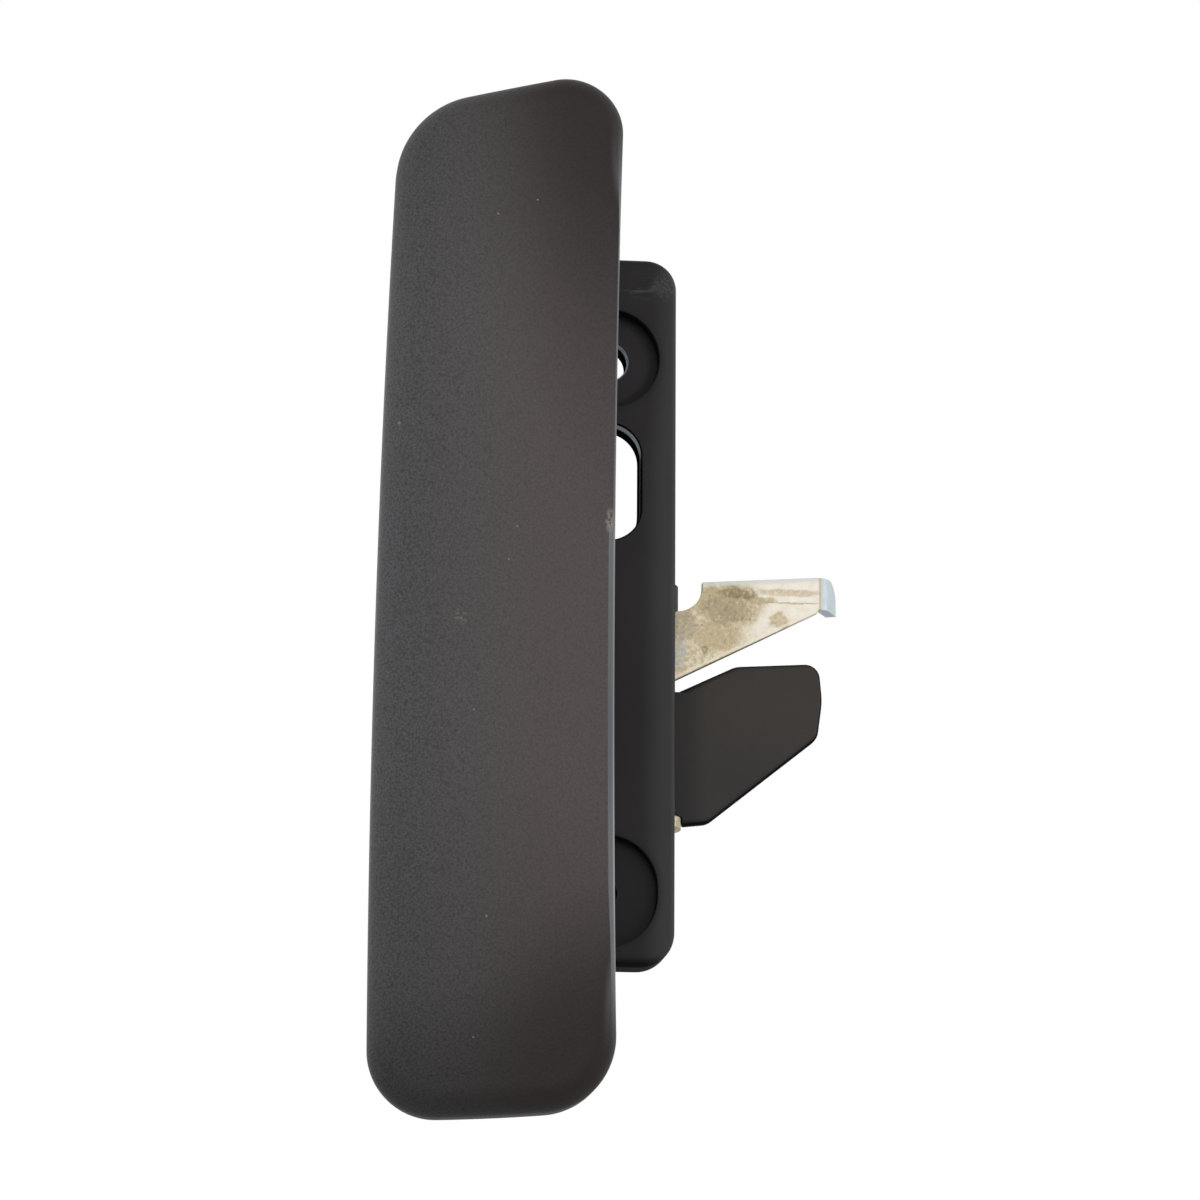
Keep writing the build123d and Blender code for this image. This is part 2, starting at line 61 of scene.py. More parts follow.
# Grip, as in the part
grip_corners = ((-38.9, -84.2), (-36.5, 81.0), (0.6, 90.0), (0.2, -81.8))
grip_radii = (10.8, 14.5, 9.2, 12.0)
grip_bows = (1.2, 0.0, -1.5, 0.6)
grip_front = -33.0
grip_back = -20.0
grip_wall = 2.3
grip_mid_z = 2.9
grip_long_crown = 900.0
grip_flat_crown = 220.0
grip_side_crown = 46.0
grip_apex_x = -9.0
grip_change_x = -24.0
grip_edge = 4.0
top_middle = -18.0

# Grip's mesh: the line up its middle that the front grows from, and the rounds of its rim
spine_x = -19.2
spine_lean = 0.012
spine_short = 21.0
rim_round = 0.9
rim_width = 0.8
rim_inner_round = 0.3

# Grip: width of the smooth bevel at its right edge, by height, where the bevel fades out above
# and below the grip's middle, and dust specks at (x, z, radius)
bevel_heights = (-74.0, -66.0, -48.0, 8.5, 12.5, 78.0)
bevel_widths = (0.5, 0.9, 1.5, 1.5, 0.75, 0.6)
bevel_end = 80.0
bevel_fade = 26.0
grip_specks = (
    (-14.3, 64.6, 0.16),
    (-20.7, 62.0, 0.18),
    (-17.2, 9.3, 0.15),
    (-18.5, 3.9, 0.14),
    (-21.2, -53.1, 0.17),
    (-22.9, -71.9, 0.14),
    (-36.1, 26.6, 0.24),
    (-23.7, -20.5, 0.15),
)
mark_depth = -32.0

# Plate's slot and seats, as in the part, in metres: (z of the centre, half of the straight, radius)
slot_place = (0.0237, 0.0045, 0.0055)
upper_hole = (0.045, 0.0, 0.0033)
lower_hole = (-0.045, 0.0, 0.0021)
upper_seat = (0.045, 0.0, 0.0085)
lower_seat = (-0.045, 0.0007, 0.0085)

# Stains on the lever: centre (x, z), half size, strength and colour
lever_top_slope = 0.0739
lever_low_slope = 0.508
tan = (0.50, 0.405, 0.23)
brown = (0.25, 0.19, 0.08)
grey_brown = (0.36, 0.30, 0.195)
lever_stains = (
    ((13.4, 1.6), (2.6, 2.9), 0.75, grey_brown),
    ((13.0, -3.4), (1.3, 3.0), 0.75, (0.47, 0.49, 0.46)),
    ((21.5, 5.4), (6.0, 3.5), 1.0, tan),
    ((27.2, 6.5), (2.3, 0.7), 1.0, tan),
    ((19.4, 0.2), (3.9, 2.6), 0.9, tan),
    ((20.6, 4.6), (3.9, 2.4), 0.7, grey_brown),
    ((20.4, 3.2), (1.9, 1.2), 0.45, grey_brown),
    ((22.8, 7.35), (3.0, 0.95), 0.9, brown),
    ((17.5, -2.3), (0.8, 0.7), 0.8, brown),
    ((29.9, 2.75), (1.9, 1.25), 1.0, (0.52, 0.42, 0.225)),
)
lever_bands = (
    ((31.5, 7.75), (5.6, 0.62), 0.8, (0.55, 0.44, 0.25)),
    ((32.6, 6.0), (4.4, 0.16), 0.75, (0.42, 0.31, 0.17)),
)

# Hinge axis and return spring, as in the part
pin = (8.0, 8.0)
coil_radius = 3.9
coil_low = -21.35
coil_pitch = 1.45
coil_turns = 6
wire_radius = 0.65
wire_sides = 14
coil_steps = 36
fixed_leg = 9.5
moving_leg = 3.6

# Surroundings: the floor's height and half size, and the room's light on matt surfaces
floor_height = -620.0
floor_reach = 2500.0
room_light = 0.55


class Wire:
    """A node's output in an expression: each operator adds one Math node."""

    def __init__(self, finish, socket):
        self.finish = finish
        self.socket = socket

    def maths(self, operation, *values):
        return self.finish.node("ShaderNodeMath", {"operation": operation}, dict(enumerate(values)))

    def __add__(self, other):
        return self.maths("ADD", self, other)

    def __sub__(self, other):
        return self.maths("SUBTRACT", self, other)

    def __rsub__(self, other):
        return self.maths("SUBTRACT", other, self)

    def __mul__(self, other):
        return self.maths("MULTIPLY", self, other)

    def __truediv__(self, other):
        return self.maths("DIVIDE", self, other)

    def __pow__(self, other):
        return self.maths("POWER", self, other)

    __radd__ = __add__
    __rmul__ = __mul__

    def over(self, other):
        """The larger of the two."""
        return self.maths("MAXIMUM", self, other)

    def step(self, low, high):
        """0 below low, 1 above high, smooth between. low may be the larger."""
        settings = {"interpolation_type": "SMOOTHSTEP"}
        return self.finish.node("ShaderNodeMapRange", settings, {0: self, 1: low, 2: high})


class Finish:
    """One material: a Principled shader and the nodes that feed it."""

    def __init__(self, name, colour, roughness, **constants):
        self.material = bpy.data.materials.new(name)
        self.material.use_nodes = True
        self.tree = self.material.node_tree
        self.shader = self.tree.nodes["Principled BSDF"]
        self.set("Base Color", (*colour, 1.0))
        self.set("Roughness", roughness)
        for key, value in constants.items():
            self.set(key.replace("_", " ").title().replace("Ior", "IOR"), value)
        self.place = self.node("ShaderNodeTexCoord", {}, {}, "Object")

    def set(self, socket, value):
        """Links a wire to one of the shader's sockets, or writes a constant there."""
        self.feed(self.shader.inputs[socket], value)

    def feed(self, socket, value):
        if isinstance(value, Wire):
            self.tree.links.new(value.socket, socket)
        else:
            socket.default_value = value

    def node(self, kind, settings, inputs, output=0):
        """Any node: its settings first, then its sockets' values or links."""
        made = self.tree.nodes.new(kind)
        for key, value in settings.items():
            setattr(made, key, value)
        for key, value in inputs.items():
            self.feed(made.inputs[key], value)
        return Wire(self, made.outputs[output])

    def mix(self, factor, a, b):
        """Colour a where factor is 0 and colour b where it is 1."""
        a = a if isinstance(a, Wire) else (*a, 1.0)
        b = b if isinstance(b, Wire) else (*b, 1.0)
        return self.node("ShaderNodeMix", {"data_type": "RGBA"}, {0: factor, 6: a, 7: b}, 2)

    def noise(self, scale, detail=2.0, roughness=0.5, at=None):
        """Noise from 0 to 1, with scale in waves to the metre."""
        at = at or self.place
        sockets = {"Vector": at, "Scale": scale, "Detail": detail, "Roughness": roughness}
        return self.node("ShaderNodeTexNoise", {}, sockets)

    def cells(self, scale):
        """Smoothed distance to the nearest cell centre, with scale in cells to the metre."""
        settings = {"feature": "SMOOTH_F1"}
        sockets = {"Vector": self.place, "Scale": scale, "Smoothness": 0.6}
        return self.node("ShaderNodeTexVoronoi", settings, sockets)

    def stretched(self, x, y, z):
        """The place with each axis multiplied, for streaks."""
        return self.on_vectors("MULTIPLY", self.place, (x, y, z))

    def on_vectors(self, operation, *values, output=0):
        settings = {"operation": operation}
        return self.node("ShaderNodeVectorMath", settings, dict(enumerate(values)), output)

    def axes(self):
        """The place's x, y and z in metres."""
        made = self.tree.nodes.new("ShaderNodeSeparateXYZ")
        self.feed(made.inputs[0], self.place)
        return [Wire(self, made.outputs[i]) for i in range(3)]

    def shaken(self, amount, scale, detail=3.0):
        """The place moved about by noise, amount in millimetres, so that what is drawn frays."""
        sockets = {"Vector": self.place, "Scale": scale, "Detail": detail, "Roughness": 0.6}
        pushed = self.node("ShaderNodeTexNoise", {}, sockets, "Color")
        about = self.on_vectors("SUBTRACT", pushed, (0.5, 0.5, 0.5))
        return self.on_vectors("MULTIPLY_ADD", about, (amount * MM,) * 3, self.place)

    def spot(self, centre, reach, soft=0.5, at=None):
        """1 inside an ellipsoid of half sizes reach round centre, both in millimetres, fading at
        its rim."""
        moved = self.on_vectors("SUBTRACT", at or self.place, [c * MM for c in centre])
        scaled = self.on_vectors("DIVIDE", moved, [r * MM for r in reach])
        away = self.on_vectors("LENGTH", scaled, output="Value")
        return away.step(1.0 + soft, 1.0 - soft)

    def relief(self, height, depth, normal=None):
        """Bump of the given depth in millimetres on the shader's normal."""
        sockets = {"Height": height, "Distance": depth * MM, "Strength": 1.0}
        if normal:
            sockets["Normal"] = normal
        self.set("Normal", self.node("ShaderNodeBump", {}, sockets))

    def matt(self, factor, colour):
        """Puts a plain matt colour over the shader where factor is 1, as where no light comes."""
        flat = self.node("ShaderNodeBsdfDiffuse", {}, {"Color": (*colour, 1.0)})
        shaded = Wire(self, self.shader.outputs[0])
        both = self.node("ShaderNodeMixShader", {}, {0: factor, 1: shaded, 2: flat})
        self.feed(self.tree.nodes["Material Output"].inputs[0], both)

    def soft_edges(self, radius):
        """A normal that rounds the solid's sharp edges by a radius in millimetres."""
        return self.node("ShaderNodeBevel", {"samples": 6}, {"Radius": radius * MM})


def grained_plastic():
    """Grip: leather grain, deeper on the rolled left side, which also has a painted cooler, paler
    reflection; a painted highlight in an upright oval, with painted shade towards the top and bottom;
    a painted bluish sheen on the bevel at the right and a painted highlight line along it, with dust
    specks and a scuff there."""
    f = Finish("grip_grained", (0.06, 0.055, 0.054), 0.5, specular_ior_level=0.2)
    x, y, z = f.axes()
    # Painted light: an upright oval, tilted with height, is paler where the front lamp's sheen falls.
    # Painted shade darkens the grip towards its top and bottom.
    side = x.step(-0.030, -0.003)
    across = (x + 0.020) * 12.0
    along = (z - 0.012 + side * 0.024) * (9.5 + side * 5.5)
    away = (across * across + along * along) ** 0.5
    painted_light = (away + f.noise(30.0, 3.0) * 0.16).step(1.45, 0.35)
    painted_light = painted_light * (z - side * 0.016).step(-0.088, -0.060)
    # The left side has deeper grain (real) and a cooler, paler tone (painted reflection).
    left = x.step(-0.010, -0.038)
    grain = f.cells(2900.0) * 0.8 + f.noise(2900.0, 2.0, 0.6) * 0.8
    dips = grain.step(0.25, 1.25) * (left * 0.40 + 0.38)
    shaded_ends = f.mix(left, (0.021, 0.0155, 0.0145), (0.034, 0.0335, 0.0355))
    middle = f.mix(left, (0.090, 0.0775, 0.074), (0.099, 0.098, 0.103))
    colour = f.mix(painted_light, shaded_ends, middle)
    dark = f.mix(painted_light, (0.008, 0.007, 0.007), (0.026, 0.024, 0.024))
    colour = f.mix(dips, colour, dark)
    front = (z - grip_mid_z * MM) * (z - grip_mid_z * MM) / (2 * grip_long_crown * MM)
    reach = x - grip_apex_x * MM
    depth = y - front - reach * reach / (2 * grip_flat_crown * MM) - grip_front * MM
    # Painted light on the right edge: a bluish sheen on the bevel and a pale highlight line along it,
    # brighter lower down.
    right = x.step(-0.006, -0.004) * z.step(0.080, 0.062) * z.step(-0.074, -0.058)
    bevel = right * depth.step(0.00015, 0.00055) * depth.step(0.0075, 0.0055)
    line = right * depth.step(0.0026, 0.0036) * depth.step(0.0056, 0.0046)
    colour = f.mix(bevel * 0.85, colour, (0.112, 0.117, 0.128))
    colour = f.mix(line * (z.step(-0.010, -0.040) * 0.35 + 0.6), colour, (0.34, 0.36, 0.38))
    specks = None
    for sx, sz, size in grip_specks:
        dot = f.spot((sx, mark_depth, sz), (size, 6.0, size), 0.4)
        specks = dot if specks is None else specks.over(dot)
    crumbs = f.noise(1500.0, 3.0).step(0.36, 0.56)
    threads = f.noise(1800.0, 3.0).step(0.48, 0.62)
    scuff = f.spot((-2.3, mark_depth, 10.6), (0.75, 4.0, 1.8), 0.5) * crumbs
    fluff = f.spot((-26.1, mark_depth, -5.6), (1.0, 6.0, 1.1), 0.6) * threads
    marks = (specks * 0.6).over(scuff * 0.8).over(fluff * 0.35)
    colour = f.mix(marks, colour, (0.30, 0.255, 0.225))
    f.set("Base Color", colour)
    f.set("Roughness", 0.46 + grain * 0.10 + scuff * 0.2)
    f.relief(grain * (1.0 - bevel * 0.8) * (left * 0.7 + 0.5), 0.07)
    return f.material


def from_slot(x, z, place):
    """Distance in the plate's plane from the centre line of an upright slot or a hole."""
    middle, half, _ = place
    lift = z - middle
    beyond = (lift.maths("ABSOLUTE", lift) - half).over(0.0)
    return (x * x + beyond * beyond) ** 0.5


def plate_plastic():
    """Base plate: near black with a bluish cast, painted paler towards its right edge as light
    falling there, with a painted shade ring in and round each seat and retoned recess floors, the
    lower one painted darker as shade, a painted highlight on the front of the slot's and the hole's
    walls, which are otherwise painted black as shade, painted shade on the lower edge and some
    scratches."""
    f = Finish("plate_plastic", (0.015, 0.0145, 0.0165), 0.5, specular_ior_level=0.14)
    x, y, z = f.axes()
    cloud = f.noise(60.0, 3.0)
    fine = f.noise(2400.0, 2.0)
    colour = f.mix(cloud.step(0.3, 0.7), (0.0120, 0.0105, 0.0122), (0.0185, 0.0168, 0.0188))
    # Painted light: paler towards the right edge, where the grip's shadow ends.
    painted_light = (x - z.step(0.025, 0.045) * 0.0016).step(0.0050, 0.0100) * y.step(-0.0066, -0.0078)
    colour = f.mix(painted_light * (cloud * 0.5 + 0.45), colour, (0.052, 0.051, 0.050))
    # Painted shade: a soft dark ring on the face round each seat and a dark ring on each recess floor
    # along its wall. The recess floors are retoned, the lower one painted darker as shade.
    ring = seat_shade_halo = None
    for place in (upper_seat, lower_seat):
        off = from_slot(x, z, place)
        around = off.step(place[2] + 0.0014, place[2])
        seat_shade_halo = around if seat_shade_halo is None else seat_shade_halo.over(around)
        inner = off.step(place[2] - 0.0021, place[2] - 0.0008)
        band = inner * off.step(place[2] + 0.0005, place[2] - 0.0002)
        ring = band if ring is None else ring.over(band)
    sunk = y.step(-0.0079, -0.0068)
    colour = f.mix(seat_shade_halo * (1.0 - sunk) * 0.45, colour, (0.0060, 0.0060, 0.0075))
    low = z.step(-0.030, -0.033)
    floor_tone = f.mix(low, (0.022, 0.0185, 0.0215), (0.0095, 0.0092, 0.0108))
    colour = f.mix(sunk * 0.8, colour, floor_tone)
    colour = f.mix(ring * sunk * (0.9 - low * 0.35), colour, (0.0020, 0.0020, 0.0032))
    # Painted shade: the walls of the slot and the holes are painted near black.
    wall = None
    for place in (slot_place, upper_hole, lower_hole):
        off = from_slot(x, z, place)
        inside = off.step(place[2] + 0.0003, place[2] + 0.0001)
        wall = inside if wall is None else wall.over(inside)
    colour = f.mix(wall, colour, (0.0015, 0.0017, 0.0022))
    # Painted highlight: a bluish-white band on the front of the slot's upper wall and the upper
    # hole's wall, and a weaker one on the walls lower down.
    hole = from_slot(x, z, upper_hole).step(0.0045, 0.0040)
    above = z.step(0.0270, 0.0300) * (1.0 - hole)
    below = z.step(0.0320, 0.0290) * (1.0 - hole)
    slot_lit = y.step(-0.0077, -0.0073) * y.step(-0.0050, -0.0056) * above
    hole_lit = y.step(-0.0058, -0.0054) * y.step(-0.0040, -0.0045) * hole
    side_lit = y.step(-0.0066, -0.0062) * y.step(-0.0052, -0.0056) * below * 0.3
    lit = slot_lit.over(hole_lit).over(side_lit) * wall
    colour = f.mix(lit, colour, (0.34, 0.41, 0.47))
    # Painted shade along the plate's lower edge, drawn with the matt shader below.
    lower_edge_shade = z.step(-0.0552, -0.0570) * 0.7
    streaks = f.noise(420.0, 3.0, 0.6, f.stretched(0.45, 1.0, 2.4)).step(0.50, 0.62)
    scratch = f.spot((5.6, -8.0, 57.6), (3.2, 1.5, 1.7), 0.6) * streaks
    corner = f.spot((9.3, -8.0, 58.0), (1.8, 2.5, 2.2), 0.5) * fine.step(0.35, 0.65)
    colour = f.mix((scratch * 0.30).over(corner * 0.30), colour, (0.14, 0.14, 0.14))
    f.set("Base Color", colour)
    f.set("Roughness", 0.44 + cloud * 0.12 + fine * 0.06)
    f.relief(fine, 0.01, f.soft_edges(0.35))
    # Painted shade: a plain matt near-black shader on the walls outside the painted highlight and
    # along the lower edge.
    f.matt((wall * (1.0 - lit)).over(lower_edge_shade), (0.0035, 0.0038, 0.0045))
    return f.material


def blade_plastic():
    """Rocker: warm black moulding, with painted shade at the blade's root, along its sloping
    shoulder and on its rounded back edges."""
    f = Finish("rocker_plastic", (0.03, 0.026, 0.023), 0.5, specular_ior_level=0.2)
    x, y, z = f.axes()
    cloud = f.noise(60.0, 3.0)
    fine = f.noise(2400.0, 2.0)
    upper = z.step(-0.030, -0.006)
    low_tone = f.mix(cloud.step(0.3, 0.7), (0.0265, 0.0240, 0.0240), (0.0330, 0.0300, 0.0295))
    high_tone = f.mix(cloud.step(0.3, 0.7), (0.0350, 0.0295, 0.0255), (0.0430, 0.0370, 0.0320))
    colour = f.mix(upper, low_tone, high_tone)
    # Painted shade: darker at the blade's root by the plate and along its sloping shoulder.
    root = x.step(0.0190, 0.0142)
    shoulder = (z - x * 0.42).step(-0.0137, -0.0119) * x.step(0.0245, 0.0215)
    colour = f.mix((root * 0.6).over(shoulder * 0.75), colour, (0.0065, 0.0065, 0.0078))
    # Painted shade on the rounded back edges, as a plain matt shader.
    edge = y.step(0.00606, 0.00632) * x.step(0.0125, 0.0135)
    f.set("Base Color", colour)
    f.set("Roughness", 0.44 + cloud * 0.12 + fine * 0.06)
    f.relief(fine, 0.012, f.soft_edges(0.3))
    f.matt(edge * 0.9, (0.006, 0.0055, 0.0055))
    return f.material


def stained_zinc():
    """Release lever: cream zinc, mottled brown from the notch to mid-arm, with a tan band and
    a thin line towards the tip, a painted pale highlight along the top edge, painted shade along the
    lower face and a painted bluish reflection on the tab."""
    f = Finish("zinc_steel", (0.72, 0.66, 0.52), 0.42, metallic=0.3)
    x, y, z = f.axes()
    frayed = f.shaken(3.2, 420.0, 5.0)
    smeared = f.shaken(0.8, 600.0)
    fine = f.noise(1900.0, 4.0, 0.7)
    blotch = f.noise(520.0, 5.0, 0.7)
    dapple = f.noise(900.0, 4.0, 0.7)
    light = f.mix(blotch.step(0.35, 0.65), (0.84, 0.775, 0.64), (0.93, 0.89, 0.80))
    gold = f.mix(dapple.step(0.4, 0.6), (0.56, 0.455, 0.27), (0.80, 0.72, 0.55))
    colour = f.mix(x.step(0.0270, 0.0215), light, gold)
    mottle = (dapple * 0.7 + fine * 0.7).step(0.52, 0.84)
    for centre, reach, strength, shade in lever_stains:
        spot = f.spot((centre[0], 2.0, centre[1]), (reach[0], 4.0, reach[1]), 0.22, frayed)
        colour = f.mix(spot * (mottle * 0.5 + 0.5) * strength, colour, shade)
    for centre, reach, strength, shade in lever_bands:
        band = f.spot((centre[0], 2.0, centre[1]), (reach[0], 4.0, reach[1]), 0.3, smeared)
        colour = f.mix(band * (fine.step(0.3, 0.65) * 0.5 + 0.5) * strength, colour, shade)
    crumbs = fine * 0.6 + dapple * 0.5
    worn = x.step(0.0285, 0.0240)
    colour = f.mix(crumbs.step(0.60, 0.68) * worn * 0.45, colour, (0.20, 0.15, 0.08))
    colour = f.mix(crumbs.step(0.50, 0.42) * worn * 0.35, colour, (0.85, 0.80, 0.68))
    # Painted highlight: a pale bluish line along the top edge.
    below_top = z - (x - 0.01705) * lever_top_slope - 0.0091
    top_edge_highlight = below_top.step(-0.0010, -0.0004) * x.step(0.0165, 0.0175)
    colour = f.mix(top_edge_highlight * 0.75, colour, (0.66, 0.70, 0.68))
    above_low = z - (x - 0.0370) * lever_low_slope - 0.0048
    rim = above_low.step(0.0009, 0.0004) * above_low.step(0.0001, 0.0003)
    colour = f.mix(rim * 0.7, colour, (0.90, 0.84, 0.66))
    # Painted shade: a dark band just below the arm's lower line, on its back part, for the shaded
    # lower face.
    lower_face_shade = above_low.step(0.00016, 0.00006) * above_low.step(-0.0007, -0.0004)
    lower_face_shade = lower_face_shade * y.step(0.00122, 0.0014) * (x.step(0.0365, 0.0250) * 0.75 + 0.2)
    colour = f.mix(lower_face_shade, colour, (0.03, 0.028, 0.025))
    tip = x.step(0.03705, 0.03725)
    fold = x.step(0.0366, 0.0369) * x.step(0.0372, 0.0371)
    colour = f.mix(fold * 0.7, colour, (0.50, 0.41, 0.24))
    # Painted reflection: the bent tab is painted bluish grey, standing for the white surroundings it
    # mirrors.
    shade = f.mix(dapple.step(0.35, 0.7), (0.52, 0.60, 0.64), (0.60, 0.68, 0.70))
    colour = f.mix(tip, colour, shade)
    f.set("Base Color", colour)
    f.set("Metallic", 0.3 - fine * 0.15)
    f.set("Roughness", 0.40 + blotch * 0.16 + fine * 0.08)
    f.relief(fine * 0.5 + blotch * 0.5, 0.02, f.soft_edges(0.18))
    return f.material


def plated_steel(name, colour, roughness):
    """Small steel parts: fine turning marks and a slightly uneven plating."""
    f = Finish(name, colour, roughness, metallic=0.9)
    turned = f.noise(1200.0, 2.0, 0.5, f.stretched(0.2, 0.2, 3.0))
    cloud = f.noise(160.0, 3.0)
    f.set("Base Color", f.mix(cloud, tuple(c * 0.75 for c in colour), colour))
    f.set("Roughness", roughness + cloud * 0.1)
    f.relief(turned, 0.01, f.soft_edges(0.12))
    return f.material


def soft_black(name, colour, roughness, scale, depth):
    """Rubber or foam: matt, with small pores."""
    f = Finish(name, colour, roughness, specular_ior_level=0.3)
    pores = f.cells(scale) + f.noise(scale * 0.4, 2.0) * 0.5
    deep, top = (tuple(c * share for c in colour) for share in (0.6, 1.5))
    f.set("Base Color", f.mix(pores.step(0.2, 0.9), deep, top))
    f.set("Roughness", roughness - 0.05 + pores * 0.1)
    f.relief(pores, depth)
    return f.material


def nylon():
    """Natural nylon bushes, slightly greasy."""
    f = Finish("bush_nylon", (0.62, 0.60, 0.52), 0.4)
    cloud = f.noise(300.0, 3.0)
    f.set("Base Color", f.mix(cloud, (0.56, 0.53, 0.45), (0.70, 0.68, 0.60)))
    f.set("Roughness", 0.34 + cloud * 0.16)
    return f.material


def new_piece(name, points, faces, material, smooth=True):
    """A mesh object at the origin from points in millimetres and faces as an index array."""
    mesh = bpy.data.meshes.new(name)
    mesh.from_pydata((np.asarray(points) * MM).tolist(), [], faces.tolist())
    mesh.polygons.foreach_set("use_smooth", np.full(len(mesh.polygons), smooth))
    mesh.materials.append(material)
    made = bpy.data.objects.new(name, mesh)
    bpy.context.scene.collection.objects.link(made)
    return made


def grid_faces(rows, columns):
    """Quads between neighbouring rows of points, each row closed into a ring."""
    r, c = np.meshgrid(np.arange(rows - 1), np.arange(columns), indexing="ij")
    n = (c + 1) % columns
    this, above = r * columns, (r + 1) * columns
    return np.stack([this + c, this + n, above + n, above + c], -1).reshape(-1, 4)


def rounded_outline(corners, radii, bows, count):
    """Evenly spaced points round a four-sided shape, clockwise from the middle of its top. A side
    from A to B is A + (B - A) u + 4 bow u (1 - u) times its outward normal. A corner is an arc
    whose centre is the point its radius inside both sides, met in a few steps along them."""
    corners = np.array(corners, float)
    radii = np.array(radii, float)[:, None]
    leaving = np.roll(corners, -1, axis=0) - corners
    length = np.linalg.norm(leaving, axis=1, keepdims=True)
    outward = np.stack([-leaving[:, 1], leaving[:, 0]], 1) / length
    bows = np.array(bows)[:, None]

    def on_side(u, back=0):
        """Point, heading and outward normal at u along the side that leaves each corner, or
        along the side that is so many places back."""
        start, along, out, bow = (np.roll(v, back, axis=0) for v in (corners, leaving, outward, bows))
        heading = along + 4 * bow * (1 - 2 * u) * out
        point = start + along * u + 4 * bow * u * (1 - u) * out
        unit = heading / np.linalg.norm(heading, axis=1, keepdims=True)
        return point, heading, np.stack([-unit[:, 1], unit[:, 0]], 1)

    start = radii / length
    end = 1 - radii / np.roll(length, 1, axis=0)
    for _ in range(20):
        here, heading, normal = on_side(start)
        there, coming, other = on_side(end, 1)
        apart = (here - radii * normal) - (there - radii * other)
        area = heading[:, :1] * coming[:, 1:] - heading[:, 1:] * coming[:, :1]
        start -= (apart[:, :1] * coming[:, 1:] - apart[:, 1:] * coming[:, :1]) / area
        end -= (apart[:, :1] * heading[:, 1:] - apart[:, 1:] * heading[:, :1]) / area
    here, _, normal = on_side(start)
    there, _, other = on_side(end, 1)
    centre = here - radii * normal
    runs = []
    for i in range(4):
        turned = np.linspace(0, 1, 60)[:, None]
        spread = other[i] * (1 - turned) + normal[i] * turned
        runs.append(centre[i] + radii[i] * spread / np.linalg.norm(spread, axis=1, keepdims=True))
        u = np.linspace(start[i, 0], end[(i + 1) % 4, 0], 300)[1:-1, None]
        runs.append(corners[i] + leaving[i] * u + 4 * bows[i] * u * (1 - u) * outward[i])
    path = np.concatenate(runs)
    first = np.argmin(np.abs(path[:, 0] - top_middle) + 1000.0 * (path[:, 1] < 0))
    path = np.roll(path, -first, axis=0)
    closed = np.concatenate([path, path[:1]])
    travelled = np.concatenate([[0], np.cumsum(np.linalg.norm(np.diff(closed, axis=0), axis=1))])
    even = np.linspace(0, travelled[-1], count, endpoint=False)
    return np.stack([np.interp(even, travelled, closed[:, k]) for k in (0, 1)], 1)


def grip_crown(x, z):
    """Depth of the grip's front at (x, z): a long circle along z, and across x a flat circle
    that turns into a tighter one left of the change line."""
    along = grip_long_crown - np.sqrt(grip_long_crown**2 - (z - grip_mid_z) ** 2)
    reach = np.clip(x, grip_change_x, None) - grip_apex_x
    flat = reach**2 / (2 * grip_flat_crown)
    beyond = np.clip(grip_change_x - x, 0, None)
    slope = (grip_apex_x - grip_change_x) / grip_flat_crown
    return grip_front + along + flat + slope * beyond + beyond**2 / (2 * grip_side_crown)


